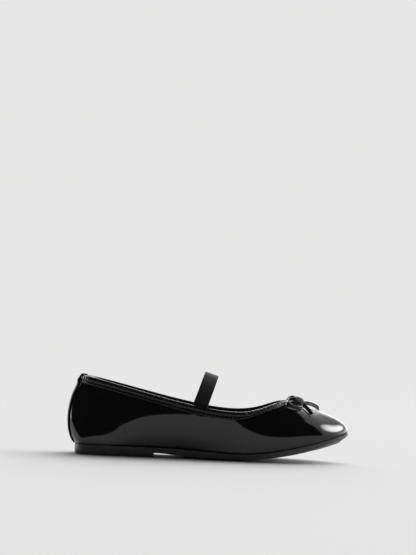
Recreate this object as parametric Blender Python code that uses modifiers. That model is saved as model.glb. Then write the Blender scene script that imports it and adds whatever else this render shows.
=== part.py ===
"""A woman's ballet flat for the right foot, in black patent.

A moulded sole with a low heel carries a closed upper that is turned in under an insole. A gathered casing
binds the topline, a strip covers the back seam, an elastic strap crosses the instep and a bow is fixed at
the throat. Metres, +Z up, +X to the toe, +Y to the inner side of the foot. The origin is on the ground
under the middle of the shoe. While the pieces are made, x runs from the back of the shoe; the last step
moves them onto the origin.
"""
import math

import bmesh
import bpy
import numpy as np
from mathutils import Vector
from mathutils.bvhtree import BVHTree

# Driving dimensions of the last and the sole
SHOE_LENGTH = 0.2550
BALL_WIDTH = 0.0830
BACK_HEIGHT = 0.0692
SIDE_HEIGHT = 0.0428
THROAT_HEIGHT = 0.0534
HEEL_HEIGHT = 0.0088
FOREPART_SOLE = 0.0062
TOE_SPRING = 0.0205
ARCH_LIFT = 0.0040
HEEL_LENGTH = 0.0790
ARCH_FRONT = 0.1300
SPRING_START = 0.1580
SOLE_LEDGE = 0.0007
TOE_BEVEL = 0.0080

# Walls, turned-in margin and the fit between pieces
UPPER_WALL = 0.0016
LASTING_MARGIN = 0.0080
INSOLE_THICKNESS = 0.0022
INSOLE_CLEARANCE = 0.0010
GAP = 0.0003

# Trim: binding, back strip, strap and bow
BINDING_THICKNESS = 0.0012
BINDING_WIDTH = 0.0050
BACK_STRIP_WIDTH = 0.0090
BACK_STRIP_THICKNESS = 0.0010
BACK_STRIP_INSIDE = 0.0080
STRAP_WIDTH = 0.0120
STRAP_THICKNESS = 0.0012
STRAP_FOOT_X = 0.1193
STRAP_TOP = 0.0760
STRAP_LEAN = math.radians(18.0)
STRAP_SEWN_LENGTH = 0.0100
BOW_AHEAD_OF_THROAT = 0.0091
BOW_HALF_SPAN = 0.0220
BOW_RISE = 0.0052
BOW_STRIP_WIDTH = 0.0033
BOW_STRIP_THICKNESS = 0.0012
KNOT_LENGTH = 0.0084
KNOT_WIDTH = 0.0076
KNOT_HEIGHT = 0.0046

# Fineness of the lofts
STEPS_BETWEEN_ROWS = 4
UPPER_LEVELS = 10

COLLECTION_NAME = "ballet_flat"

# One row for each section from the back seam to the toe tip. Lengths are shares: feather_x and top_x of
# the shoe's length, outer, inner and top_y of half the ball width. back_rise and throat_rise say how far
# the topline has risen from the side height. belly_out and crown_out are shares of half the ball width,
# belly_up and crown_down of the wall's height, reach of the way from topline to feather. bevel is the
# share of the toe bevel, large at the forepart, whose tread is slightly domed across, and side the share of
# the sole's thickness that stands upright.
SECTION_COLUMNS = ("feather_x", "outer", "inner", "top_x", "top_y", "back_rise", "throat_rise",
                   "belly_out", "belly_up", "reach", "crown_out", "crown_down", "bevel", "side")
SECTIONS = {
    "back_seam":   (0.031, 0.000, 0.000, 0.048, 0.000, 1.000, 0.00, 0.21, 0.12, 0.5, 0.33, 0.40, 0.10, 0.85),
    "heel_round":  (0.045, 0.42, 0.42, 0.059, 0.22, 0.995, 0.00, 0.08, 0.08, 0.50, 0.06, 0.44, 0.10, 0.85),
    "heel_corner": (0.082, 0.58, 0.57, 0.086, 0.41, 0.950, 0.00, 0.05, 0.09, 0.50, 0.04, 0.42, 0.12, 0.85),
    "seat":        (0.149, 0.64, 0.63, 0.149, 0.54, 0.810, 0.00, 0.03, 0.15, 0.50, 0.03, 0.40, 0.12, 0.85),
    "heel_front":  (0.243, 0.64, 0.60, 0.243, 0.62, 0.595, 0.00, 0.06, 0.24, 0.50, 0.07, 0.35, 0.12, 0.80),
    "shank":       (0.345, 0.64, 0.53, 0.341, 0.68, 0.370, 0.00, 0.07, 0.29, 0.50, 0.08, 0.31, 0.14, 0.75),
    "waist":       (0.439, 0.68, 0.49, 0.431, 0.74, 0.180, 0.00, 0.07, 0.30, 0.50, 0.06, 0.29, 0.60, 0.75),
    "joint_back":  (0.541, 0.78, 0.69, 0.525, 0.81, 0.035, 0.00, 0.03, 0.30, 0.50, 0.05, 0.26, 1.60, 0.80),
    "joint":       (0.635, 0.90, 0.89, 0.604, 0.87, 0.000, 0.01, 0.03, 0.31, 0.50, 0.05, 0.21, 2.10, 0.78),
    "ball":        (0.729, 0.93, 0.93, 0.667, 0.74, 0.000, 0.23, 0.07, 0.33, 0.60, 0.15, 0.18, 2.10, 0.78),
    "toe_side":    (0.820, 0.80, 0.87, 0.714, 0.58, 0.000, 0.62, 0.09, 0.27, 0.65, 0.19, 0.17, 1.60, 0.74),
    "toe_corner":  (0.898, 0.60, 0.72, 0.750, 0.40, 0.000, 0.90, 0.10, 0.25, 0.68, 0.16, 0.22, 1.30, 0.62),
    "toe_round":   (0.961, 0.330, 0.450, 0.776, 0.207, 0.000, 0.965, 0.06, 0.27, 0.70, 0.03, 0.33, 1.10, 0.46),
    "toe_tip":     (0.994, -0.060, 0.060, 0.786, 0.000, 0.000, 1.00, 0.06, 0.37, 0.70, 0.01, 0.36, 1.00, 0.30),
}

# The bow's strip, as forward and out in shares of its half span and lift in shares of its rise. The loops
# are alike on both sides; the outer tail hangs down the side and the inner tail points ahead.
BOW_COLUMNS = ("forward", "out", "lift")
BOW_LOOP = (
    (-0.11, 0.09, 0.58),
    (-0.30, 0.34, 1.00),
    (-0.50, 0.61, 0.92),
    (-0.57, 0.86, 0.66),
    (-0.39, 1.00, 0.50),
    (-0.11, 0.93, 0.48),
    (0.00, 0.61, 0.55),
    (0.03, 0.34, 0.62),
    (0.02, 0.09, 0.58),
)
BOW_OUTER_TAIL = (
    (0.04, 0.12, 0.50),
    (0.16, 0.38, 0.42),
    (0.30, 0.66, 0.38),
    (0.42, 0.92, 0.38),
)
BOW_INNER_TAIL = (
    (0.07, 0.09, 0.50),
    (0.29, 0.28, 0.50),
    (0.52, 0.45, 0.48),
    (0.74, 0.62, 0.44),
)


def row_value(name, column):
    return SECTIONS[name][SECTION_COLUMNS.index(column)]


def ease(share):
    """Falls smoothly from 1 to 0 while share goes from 0 to 1."""
    share = min(max(share, 0.0), 1.0)
    return 0.5 * (1.0 + math.cos(math.pi * share))


def sole_bottom(x):
    """Height of the tread before the arch is cut: flat, then rising in the toe spring."""
    toe_x = row_value("toe_tip", "feather_x") * SHOE_LENGTH
    share = max(0.0, (x - SPRING_START) / (toe_x - SPRING_START))
    return TOE_SPRING * share ** 1.55


def sole_top(x):
    """Height of the line where upper and sole meet, called the feather line."""
    heel_share = (x - HEEL_LENGTH) / (SPRING_START - HEEL_LENGTH)
    return FOREPART_SOLE + (HEEL_HEIGHT - FOREPART_SOLE) * ease(heel_share) + sole_bottom(x)


def around(row_points):
    """Smooth closed curve through one point per section, outer side first, by a periodic cubic spline."""
    points = np.array(row_points)
    count = len(points)
    system = np.zeros((count, count))
    for i in range(count):
        system[i, i] = 4.0
        system[i, (i - 1) % count] = 1.0
        system[i, (i + 1) % count] = 1.0
    bends = 6.0 * (np.roll(points, 1, axis=0) - 2.0 * points + np.roll(points, -1, axis=0))
    curvature = np.linalg.solve(system, bends)
    curve = []
    for i in range(count):
        j = (i + 1) % count
        for step in range(STEPS_BETWEEN_ROWS):
            b = step / STEPS_BETWEEN_ROWS
            a = 1.0 - b
            point = a * points[i] + b * points[j]
            point = point + ((a ** 3 - a) * curvature[i] + (b ** 3 - b) * curvature[j]) / 6.0
            curve.append(point)
    return np.array(curve)


def ring_rows(column_of):
    """Values of one column or function for every section of the closed ring: outer side, tip, inner side."""
    names = list(SECTIONS)
    outer_side = [column_of(name, -1) for name in names]
    inner_side = [column_of(name, 1) for name in names[-2:0:-1]]
    return outer_side + inner_side


def feather_point(name, side):
    column = "outer" if side < 0 else "inner"
    x = row_value(name, "feather_x") * SHOE_LENGTH
    y = side * row_value(name, column) * BALL_WIDTH / 2
    return (x, y, sole_top(x))


def top_point(name, side):
    rise = row_value(name, "back_rise") * (BACK_HEIGHT - SIDE_HEIGHT)
    rise += row_value(name, "throat_rise") * (THROAT_HEIGHT - SIDE_HEIGHT)
    y = side * row_value(name, "top_y") * BALL_WIDTH / 2
    return (row_value(name, "top_x") * SHOE_LENGTH, y, SIDE_HEIGHT + rise)


def plan_normals(loop):
    """Outward directions, seen from above, of a loop that runs outer side first."""
    along = np.roll(loop, -1, axis=0) - np.roll(loop, 1, axis=0)
    normals = np.stack([along[:, 1], -along[:, 0]], axis=1)
    return normals / np.linalg.norm(normals, axis=1)[:, None]


def moved_out(loop, distance):
    """The loop moved outward in plan, by one distance or one for each point."""
    moved = loop.copy()
    moved[:, :2] += plan_normals(loop) * np.reshape(distance, (-1, 1))
    return moved


def on_sole(loop, lift):
    """The loop laid at a height above the sole's upper face."""
    laid = loop.copy()
    laid[:, 2] = [sole_top(x) + lift for x in loop[:, 0]]
    return laid


def spread(column):
    """One column of the table as a smooth value for every point of a loop."""
    values = ring_rows(lambda name, side: (row_value(name, column), 0.0, 0.0))
    return around(values)[:, 0]


def last_loops():
    """The four rings that steer the wall's curve: feather, belly, crown and topline."""
    feather_rows = np.array(ring_rows(feather_point))
    top_rows = np.array(ring_rows(top_point))
    outward = plan_normals(feather_rows)
    belly_rows = feather_rows.copy()
    crown_rows = top_rows.copy()
    names = ring_rows(lambda name, side: name)
    for i, name in enumerate(names):
        wall = top_rows[i, 2] - feather_rows[i, 2]
        belly_rows[i, :2] += outward[i] * row_value(name, "belly_out") * BALL_WIDTH / 2
        belly_rows[i, 2] += row_value(name, "belly_up") * wall
        crown_rows[i, :2] += (feather_rows[i, :2] - top_rows[i, :2]) * row_value(name, "reach")
        crown_rows[i, :2] += outward[i] * row_value(name, "crown_out") * BALL_WIDTH / 2
        crown_rows[i, 2] -= row_value(name, "crown_down") * wall
    feather = on_sole(around(feather_rows), GAP)
    return feather, around(belly_rows), around(crown_rows), around(top_rows)


def wall_loop(loops, share):
    """The ring of the upper's outside at a share of the way up, on the cubic that the four rings steer."""
    rest = 1.0 - share
    feather, belly, crown, top = loops
    return (rest ** 3 * feather + 3 * rest ** 2 * share * belly
            + 3 * rest * share ** 2 * crown + share ** 3 * top)


def wall_loops(loops):
    """The rings that the upper is skinned over, closer to each other towards the topline."""
    return [wall_loop(loops, 1.0 - (1.0 - level / UPPER_LEVELS) ** 1.35) for level in range(UPPER_LEVELS + 1)]


def wall_frame(loops, share):
    """Points of the upper's outside at a share of the way up, with the directions out of and up the wall."""
    feather, belly, crown, top = loops
    share = np.reshape(share, (-1, 1))
    rest = 1.0 - share
    points = wall_loop(loops, share)
    climb = rest ** 2 * (belly - feather) + 2 * rest * share * (crown - belly) + share ** 2 * (top - crown)
    along = np.roll(points, -1, axis=0) - np.roll(points, 1, axis=0)
    out = np.cross(along, climb)
    out = out / np.linalg.norm(out, axis=1)[:, None]
    up = np.cross(out, along)
    return points, out, up / np.linalg.norm(up, axis=1)[:, None]


def frame_below_top(loops, depth):
    """The wall's frame at a distance below the topline, measured down the wall."""
    shares = np.linspace(1.0, 0.5, 26)
    rings = np.array([wall_loop(loops, share) for share in shares])
    steps = np.linalg.norm(np.diff(rings, axis=0), axis=2)
    walked = np.vstack([np.zeros(steps.shape[1]), np.cumsum(steps, axis=0)])
    found = [np.interp(depth, walked[:, i], shares) for i in range(walked.shape[1])]
    return wall_frame(loops, found)


def material(name, colour, roughness):
    made = bpy.data.materials.new(name)
    made.use_nodes = True
    shader = made.node_tree.nodes["Principled BSDF"]
    shader.inputs["Base Color"].default_value = (*colour, 1.0)
    shader.inputs["Roughness"].default_value = roughness
    return made


def add_piece(name, vertices, faces, finish, collection):
    mesh = bpy.data.meshes.new(name)
    mesh.from_pydata([tuple(v) for v in vertices], [], faces)
    mesh.validate()
    builder = bmesh.new()
    builder.from_mesh(mesh)
    bmesh.ops.recalc_face_normals(builder, faces=builder.faces)
    builder.to_mesh(mesh)
    builder.free()
    mesh.materials.append(finish)
    mesh.shade_smooth()
    mesh.set_sharp_from_angle(angle=math.radians(40))
    piece = bpy.data.objects.new(name, mesh)
    collection.objects.link(piece)
    return piece


def band_faces(lower_start, upper_start, count):
    """Quads between two closed loops of the same count."""
    faces = []
    for i in range(count):
        j = (i + 1) % count
        faces.append((lower_start + i, lower_start + j, upper_start + j, upper_start + i))
    return faces


def cap_faces(start, count):
    """Quads straight across a loop, from its outer to its inner side."""
    faces = [(start, start + 1, start + count - 1)]
    half = count // 2
    for i in range(1, half - 1):
        faces.append((start + i, start + i + 1, start + count - i - 1, start + count - i))
    faces.append((start + half - 1, start + half, start + half + 1))
    return faces


def lofted(name, loops, closed_ends, finish, collection):
    """A piece skinned over closed loops, listed from the bottom up, with or without its two caps."""
    count = len(loops[0])
    faces = []
    for level in range(len(loops) - 1):
        faces += band_faces(level * count, (level + 1) * count, count)
    if closed_ends:
        faces += cap_faces(0, count)
        faces += cap_faces((len(loops) - 1) * count, count)
    return add_piece(name, np.concatenate(loops), faces, finish, collection)


def arch_cutter(collection):
    """The space under the waist: upright at the heel's breast, then running out into the forepart."""
    below = -0.002
    outline = [(HEEL_LENGTH, below), (HEEL_LENGTH, ARCH_LIFT)]
    pieces = 9
    for i in range(1, pieces + 1):
        share = i / pieces
        x = HEEL_LENGTH + share * (ARCH_FRONT - HEEL_LENGTH)
        outline.append((x, ARCH_LIFT * ease(share)))
    outline[-1] = (ARCH_FRONT, 0.0)
    outline.append((ARCH_FRONT, below))
    flat = bpy.data.curves.new("arch_space", "CURVE")
    flat.dimensions = "2D"
    flat.fill_mode = "BOTH"
    flat.extrude = BALL_WIDTH
    spline = flat.splines.new("POLY")
    spline.points.add(len(outline) - 1)
    for point, (x, z) in zip(spline.points, outline):
        point.co = (x, z, 0.0, 1.0)
    spline.use_cyclic_u = True
    drawn = bpy.data.objects.new("arch_outline", flat)
    drawn.rotation_euler.x = math.pi / 2
    collection.objects.link(drawn)
    bpy.context.view_layer.update()
    evaluated = drawn.evaluated_get(bpy.context.evaluated_depsgraph_get())
    mesh = bpy.data.meshes.new_from_object(evaluated)
    welder = bmesh.new()
    welder.from_mesh(mesh)
    bmesh.ops.remove_doubles(welder, verts=welder.verts, dist=0.00001)
    bmesh.ops.recalc_face_normals(welder, faces=welder.faces)
    welder.to_mesh(mesh)
    welder.free()
    cutter = bpy.data.objects.new("arch_cutter", mesh)
    cutter.matrix_world = drawn.matrix_world
    collection.objects.link(cutter)
    bpy.data.objects.remove(drawn)
    cutter.hide_render = True
    cutter.display_type = "WIRE"
    return cutter


def make_outsole(feather, finish, collection, cutters):
    """Moulded unit sole: flat heel and forepart on one plane, arch between them, bevelled toe spring."""
    edge = on_sole(moved_out(feather, SOLE_LEDGE), 0.0)
    tread = moved_out(edge, -spread("bevel") * TOE_BEVEL)
    tread[:, 2] = [sole_bottom(x) for x in tread[:, 0]]
    side_foot = edge.copy()
    for i, upright in enumerate(spread("side")):
        x, _, top = edge[i]
        side_foot[i, 2] = top - upright * (top - sole_bottom(x))
    outsole = lofted("outsole", [tread, side_foot, edge], True, finish, collection)
    cut = outsole.modifiers.new("arch", "BOOLEAN")
    cut.operation = "DIFFERENCE"
    cut.object = arch_cutter(cutters)
    return outsole


def make_upper(loops, finish, collection):
    """One wall round the last, turned in under the insole, open at the collar and under the foot."""
    feather = loops[0]
    margin = on_sole(moved_out(feather, -LASTING_MARGIN), GAP)
    upper = lofted("upper", [margin, *wall_loops(loops)], False, finish, collection)
    wall = upper.modifiers.new("wall", "SOLIDIFY")
    wall.thickness = UPPER_WALL
    wall.offset = -1.0
    wall.use_even_offset = True
    return upper


def make_insole(feather, finish, collection):
    """Footbed on the turned-in margin, with the filler that levels the hollow inside the margin."""
    rim = moved_out(feather, -(UPPER_WALL + INSOLE_CLEARANCE))
    core = moved_out(feather, -(LASTING_MARGIN + INSOLE_CLEARANCE))
    seat = GAP + UPPER_WALL + GAP
    rings = [on_sole(core, GAP), on_sole(core, seat), on_sole(rim, seat),
             on_sole(rim, seat + INSOLE_THICKNESS)]
    return lofted("insole", rings, True, finish, collection)


def binding_outline():
    """The casing's cut across the topline: depth below the edge, way out of the wall, height over the edge."""
    outside = GAP + BINDING_THICKNESS
    inside = -(UPPER_WALL + GAP + BINDING_THICKNESS)
    middle = (outside + inside) / 2
    half_width = (outside - inside) / 2
    outer_depths = (BINDING_WIDTH, BINDING_WIDTH * 2 / 3, BINDING_WIDTH / 3)
    outline = [(depth, outside, 0.0) for depth in outer_depths]
    for degrees in (0, 45, 90, 135, 180):
        angle = math.radians(degrees)
        outline.append((0.0, middle + half_width * math.cos(angle), outside * math.sin(angle)))
    outline.append((BINDING_WIDTH, inside, 0.0))
    outline.append((BINDING_WIDTH, inside + BINDING_THICKNESS, 0.0))
    outline.append((0.0, inside + BINDING_THICKNESS, GAP))
    outline.append((0.0, GAP, GAP))
    outline += [(depth, GAP, 0.0) for depth in reversed(outer_depths)]
    return outline


def make_binding(loops, finish, collection):
    """Folded casing over the topline, round the whole collar and throat."""
    rings = []
    for depth, out_of_wall, over_edge in binding_outline():
        points, out, up = frame_below_top(loops, depth)
        rings.append(points + out * out_of_wall + up * over_edge)
    count = len(rings[0])
    faces = []
    for k in range(len(rings)):
        faces += band_faces(k * count, (k + 1) % len(rings) * count, count)
    return add_piece("topline_binding", np.concatenate(rings), faces, finish, collection)


def at_back(ring, y):
    """The point of a ring near the back seam at a given distance to the side."""
    near = ring[[4, 3, 2, 1, 0, -1, -2, -3, -4]]
    return np.array([np.interp(y, near[:, 1], near[:, axis]) for axis in range(3)])


def back_strip_path(loops):
    """Rings through the strip's lower and upper face, from the sole over the binding to its inner end."""
    over_binding = GAP + BINDING_THICKNESS + GAP
    thickness = BACK_STRIP_THICKNESS
    path = []
    for share in np.linspace(0.03, 0.90, 10):
        points, out, _ = wall_frame(loops, share)
        path.append((points + out * GAP, points + out * (GAP + thickness)))
    for depth in (BINDING_WIDTH + GAP, BINDING_WIDTH * 2 / 3, BINDING_WIDTH / 3):
        points, out, _ = frame_below_top(loops, depth)
        path.append((points + out * over_binding, points + out * (over_binding + thickness)))
    top, out, up = frame_below_top(loops, 0.0)
    middle = -UPPER_WALL / 2
    half_width = over_binding - middle
    for degrees in (0, 30, 60, 90, 120, 150, 180):
        across = math.cos(math.radians(degrees))
        rise = math.sin(math.radians(degrees))
        under = out * (middle + half_width * across) + up * over_binding * rise
        over = out * (middle + (half_width + thickness) * across) + up * (over_binding + thickness) * rise
        path.append((top + under, top + over))
    for depth in (BINDING_WIDTH, BACK_STRIP_INSIDE):
        points, out, _ = frame_below_top(loops, depth)
        inward = -(UPPER_WALL + over_binding)
        path.append((points + out * inward, points + out * (inward - thickness)))
    return path


def make_back_strip(loops, finish, collection):
    """Narrow strip that covers the back seam, runs over the binding and ends inside the collar."""
    columns = 4
    sides = np.linspace(-BACK_STRIP_WIDTH / 2, BACK_STRIP_WIDTH / 2, columns + 1)
    rows = []
    for under, over in back_strip_path(loops):
        rows.append([at_back(under, y) for y in sides] + [at_back(over, y) for y in reversed(sides)])
    around_strip = len(rows[0])
    faces = []
    for k in range(len(rows) - 1):
        faces += band_faces(k * around_strip, (k + 1) * around_strip, around_strip)
    last = (len(rows) - 1) * around_strip
    for start in (0, last):
        for i in range(columns):
            faces.append((start + i, start + i + 1, start + around_strip - i - 2, start + around_strip - i - 1))
    return add_piece("back_strip", np.concatenate(rows), faces, finish, collection)


def band(name, centres, edges, width, thickness, finish, collection):
    """A flat strip along a path, with the direction across its width given at each place."""
    vertices = []
    last = len(centres) - 1
    for k, (centre, edge) in enumerate(zip(centres, edges)):
        run = centres[min(k + 1, last)] - centres[max(k - 1, 0)]
        edge = edge - run * np.dot(edge, run) / np.dot(run, run)
        edge = edge / np.linalg.norm(edge)
        flat = np.cross(run, edge)
        flat = flat / np.linalg.norm(flat)
        for a, b in ((-1, -1), (1, -1), (1, 1), (-1, 1)):
            vertices.append(centre + edge * (a * width / 2) + flat * (b * thickness / 2))
    faces = []
    for k in range(last):
        faces += band_faces(k * 4, (k + 1) * 4, 4)
    end = last * 4
    faces += [(0, 1, 2, 3), (end, end + 1, end + 2, end + 3)]
    return add_piece(name, vertices, faces, finish, collection)


def at_x(ring, x, side):
    """The values that go with a given x along one side of a ring."""
    half = len(ring) // 2
    run = ring[:half] if side < 0 else ring[:half:-1]
    return np.array([np.interp(x, run[:, 0], run[:, axis]) for axis in range(run.shape[1])])


def strap_seat(loops, x, depth, side):
    """Middle of the strap's thickness where it lies on the binding inside the wall, and its run along it."""
    inward = UPPER_WALL + 3 * GAP + BINDING_THICKNESS + STRAP_THICKNESS / 2
    points, out, _ = frame_below_top(loops, depth)
    ring = points - out * inward
    here = at_x(ring, x, side)
    ahead = at_x(ring, x + STRAP_WIDTH / 2, side)
    behind = at_x(ring, x - STRAP_WIDTH / 2, side)
    return here, (ahead[1] - behind[1]) / STRAP_WIDTH


def make_strap(loops, finish, collection):
    """Elastic over the instep, in one plane that leans forward, its ends sewn inside the topline."""
    rise = np.array([math.sin(STRAP_LEAN), 0.0, math.cos(STRAP_LEAN)])
    across = np.array([math.cos(STRAP_LEAN), 0.0, -math.sin(STRAP_LEAN)])
    sewn = {}
    for side in (-1, 1):
        sewn[side] = []
        for depth in (STRAP_SEWN_LENGTH, STRAP_SEWN_LENGTH / 2, 0.0):
            x = STRAP_FOOT_X - depth * math.sin(STRAP_LEAN)
            sewn[side].append(strap_seat(loops, x, depth, side))
    outer_foot, outer_flare = sewn[-1][-1]
    inner_foot, inner_flare = sewn[1][-1]
    middle = (outer_foot + inner_foot) / 2
    half_span = (inner_foot[1] - outer_foot[1]) / 2
    arch_rise = (STRAP_TOP - middle[2]) / math.cos(STRAP_LEAN) - STRAP_THICKNESS / 2
    centres = [place for place, _ in sewn[-1]]
    edges = [across + np.array([0.0, flare, 0.0]) for _, flare in sewn[-1]]
    for degrees in range(-75, 76, 15):
        swing = math.sin(math.radians(degrees))
        height = math.cos(math.radians(degrees)) * arch_rise
        flare = inner_flare * max(swing, 0.0) + outer_flare * max(-swing, 0.0)
        centres.append(middle + rise * height + np.array([0.0, swing * half_span, 0.0]))
        edges.append(across + np.array([0.0, flare, 0.0]))
    centres += [place for place, _ in reversed(sewn[1])]
    edges += [across + np.array([0.0, flare, 0.0]) for _, flare in reversed(sewn[1])]
    return band("elastic_strap", centres, edges, STRAP_WIDTH, STRAP_THICKNESS, finish, collection)


def vamp_surface(loops):
    """The upper's outside as a surface that heights can be read from."""
    rings = wall_loops(loops)
    count = len(rings[0])
    faces = []
    for level in range(UPPER_LEVELS):
        faces += band_faces(level * count, (level + 1) * count, count)
    return BVHTree.FromPolygons([tuple(p) for p in np.concatenate(rings)], faces)


def on_vamp(surface, x, y):
    """Point and outward normal of the vamp under a place seen from above."""
    above = 1.0
    point, normal, _, _ = surface.ray_cast(Vector((x, y, above)), Vector((0.0, 0.0, -1.0)))
    if normal.z < 0.0:
        normal = -normal
    return np.array(point), np.array(normal)


def smooth_path(places, steps):
    """A curve through the given places, each stretch steered by its neighbours."""
    places = [np.array(p) for p in places]
    ends = [2 * places[0] - places[1], *places, 2 * places[-1] - places[-2]]
    path = []
    for i in range(len(places) - 1):
        before, start, end, after = ends[i:i + 4]
        for step in range(steps):
            t = step / steps
            pull = (2 * before - 5 * start + 4 * end - after) * t ** 2
            twist = (3 * start - before - 3 * end + after) * t ** 3
            path.append(start + 0.5 * ((end - before) * t + pull + twist))
    path.append(places[-1])
    return path


def bow_middle():
    """Where the knot sits, ahead of the throat."""
    return row_value("toe_tip", "top_x") * SHOE_LENGTH + BOW_AHEAD_OF_THROAT


def bow_band(name, table, side, lean, surface, finish, collection):
    """One loop or tail of the bow's strip, on edge at lean 0 and tipped to the middle as lean grows."""
    places = []
    for forward, out, lift in table:
        x = bow_middle() + forward * BOW_HALF_SPAN
        y = side * out * BOW_HALF_SPAN
        point, normal = on_vamp(surface, x, y)
        places.append(point + normal * lift * BOW_RISE)
    centres = smooth_path(places, 2)
    edges = []
    for i, centre in enumerate(centres):
        run = centres[min(i + 1, len(centres) - 1)] - centres[max(i - 1, 0)]
        _, normal = on_vamp(surface, centre[0], centre[1])
        level = np.cross(normal, run)
        edges.append(normal * (1.0 - lean) - level / np.linalg.norm(level) * lean * side)
    return band(name, centres, edges, BOW_STRIP_WIDTH, BOW_STRIP_THICKNESS, finish, collection)


def make_bow(loops, finish, collection, cutters):
    """One strip tied in a bow: a knot with two loops and two tails, made one body by unions."""
    surface = vamp_surface(loops)
    point, normal = on_vamp(surface, bow_middle(), 0.0)
    mesh = bpy.data.meshes.new("bow")
    builder = bmesh.new()
    bmesh.ops.create_uvsphere(builder, u_segments=12, v_segments=8, radius=0.5)
    builder.to_mesh(mesh)
    builder.free()
    mesh.materials.append(finish)
    mesh.shade_smooth()
    bow = bpy.data.objects.new("bow", mesh)
    collection.objects.link(bow)
    bow.location = Vector(point + normal * (KNOT_HEIGHT / 2 + GAP))
    bow.rotation_euler.y = math.atan2(normal[0], normal[2])
    bow.scale = (KNOT_LENGTH, KNOT_WIDTH, KNOT_HEIGHT)
    parts = [
        bow_band("bow_loop_outer", BOW_LOOP, -1, 0.0, surface, finish, cutters),
        bow_band("bow_loop_inner", BOW_LOOP, 1, 0.0, surface, finish, cutters),
        bow_band("bow_tail_outer", BOW_OUTER_TAIL, -1, 0.5, surface, finish, cutters),
        bow_band("bow_tail_inner", BOW_INNER_TAIL, 1, 0.1, surface, finish, cutters),
    ]
    for strip in parts:
        strip.hide_render = True
        strip.display_type = "WIRE"
        join = bow.modifiers.new(strip.name, "BOOLEAN")
        join.operation = "UNION"
        join.object = strip
    return bow


def centre_on_origin(pieces, cutters):
    """Move every piece so that the shoe's box stands centred on the origin."""
    bpy.context.view_layer.update()
    graph = bpy.context.evaluated_depsgraph_get()
    corners = []
    for piece in pieces:
        placed = piece.evaluated_get(graph)
        corners += [placed.matrix_world @ Vector(corner) for corner in placed.bound_box]
    middle_x = (min(c.x for c in corners) + max(c.x for c in corners)) / 2
    middle_y = (min(c.y for c in corners) + max(c.y for c in corners)) / 2
    for shape in [*pieces, *cutters]:
        shape.location.x -= middle_x
        shape.location.y -= middle_y


def new_collection(name):
    made = bpy.data.collections.new(name)
    bpy.context.scene.collection.children.link(made)
    return made


def main():
    for leftover in list(bpy.data.objects):
        bpy.data.objects.remove(leftover, do_unlink=True)
    shoe = new_collection(COLLECTION_NAME)
    cutters = new_collection("cutters")
    patent = material("black_patent", (0.010, 0.010, 0.011), 0.08)
    sole_rubber = material("sole_rubber", (0.030, 0.030, 0.030), 0.6)
    lining = material("lining", (0.020, 0.020, 0.021), 0.55)
    elastic = material("elastic", (0.030, 0.030, 0.031), 0.8)
    loops = last_loops()
    pieces = [
        make_outsole(loops[0], sole_rubber, shoe, cutters),
        make_insole(loops[0], lining, shoe),
        make_upper(loops, patent, shoe),
        make_binding(loops, patent, shoe),
        make_back_strip(loops, patent, shoe),
        make_strap(loops, elastic, shoe),
        make_bow(loops, patent, shoe, cutters),
    ]
    centre_on_origin(pieces, cutters.objects)


main()
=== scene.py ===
"""A black patent ballet flat for the right foot, in the order in which it is put together."""
import math

import bpy
import numpy as np
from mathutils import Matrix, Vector
from mathutils.bvhtree import BVHTree
from mathutils.kdtree import KDTree


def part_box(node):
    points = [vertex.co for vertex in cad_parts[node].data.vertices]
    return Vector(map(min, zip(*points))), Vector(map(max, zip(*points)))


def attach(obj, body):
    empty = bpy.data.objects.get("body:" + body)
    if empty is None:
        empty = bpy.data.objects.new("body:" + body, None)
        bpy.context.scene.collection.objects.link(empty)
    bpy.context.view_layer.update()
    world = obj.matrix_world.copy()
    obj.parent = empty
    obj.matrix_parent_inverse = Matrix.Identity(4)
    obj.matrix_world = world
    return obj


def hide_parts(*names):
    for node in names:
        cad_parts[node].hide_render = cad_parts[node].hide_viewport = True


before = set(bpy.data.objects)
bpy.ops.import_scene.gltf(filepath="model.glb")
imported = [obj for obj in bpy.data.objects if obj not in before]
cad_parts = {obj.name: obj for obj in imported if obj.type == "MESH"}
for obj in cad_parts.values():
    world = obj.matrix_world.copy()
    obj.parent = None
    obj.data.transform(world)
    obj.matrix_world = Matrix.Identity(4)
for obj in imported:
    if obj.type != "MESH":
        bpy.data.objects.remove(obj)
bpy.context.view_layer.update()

# The upper is one wall of thick black patent, a glossy film on leather, over a thin textile lining.
# It is pulled over the last and turned in under the insole, so its lower edge is a tight fold.

PATENT_BLACK = (0.0045, 0.0045, 0.0048, 1.0)
FILM_ROUGHNESS = 0.055
FILM_WAVE_SIZE = 0.011
FILM_WAVE_DEPTH = 0.00002
FILM_WAVE_ROUGHNESS = 0.45
LINING_BLACK = (0.014, 0.0138, 0.0136, 1.0)
LINING_ROUGHNESS = 0.72
LINING_THREAD = 0.0006
LINING_RELIEF = LINING_THREAD / 6
FOLD_ANGLE = math.radians(48)
FOLD_SHARPNESS = 0.9
SAME_CORNER = 0.00001
QUAD_FOLD = math.radians(60)
QUAD_SKEW = math.radians(120)
STEERING_ROUNDS = 4
# The foot's middle line runs inside the upper at one height, short of its back and its toe.
MIDDLE_FROM_BACK = 0.030
MIDDLE_FROM_TOE = 0.032
MIDDLE_HEIGHT = 0.022
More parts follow.
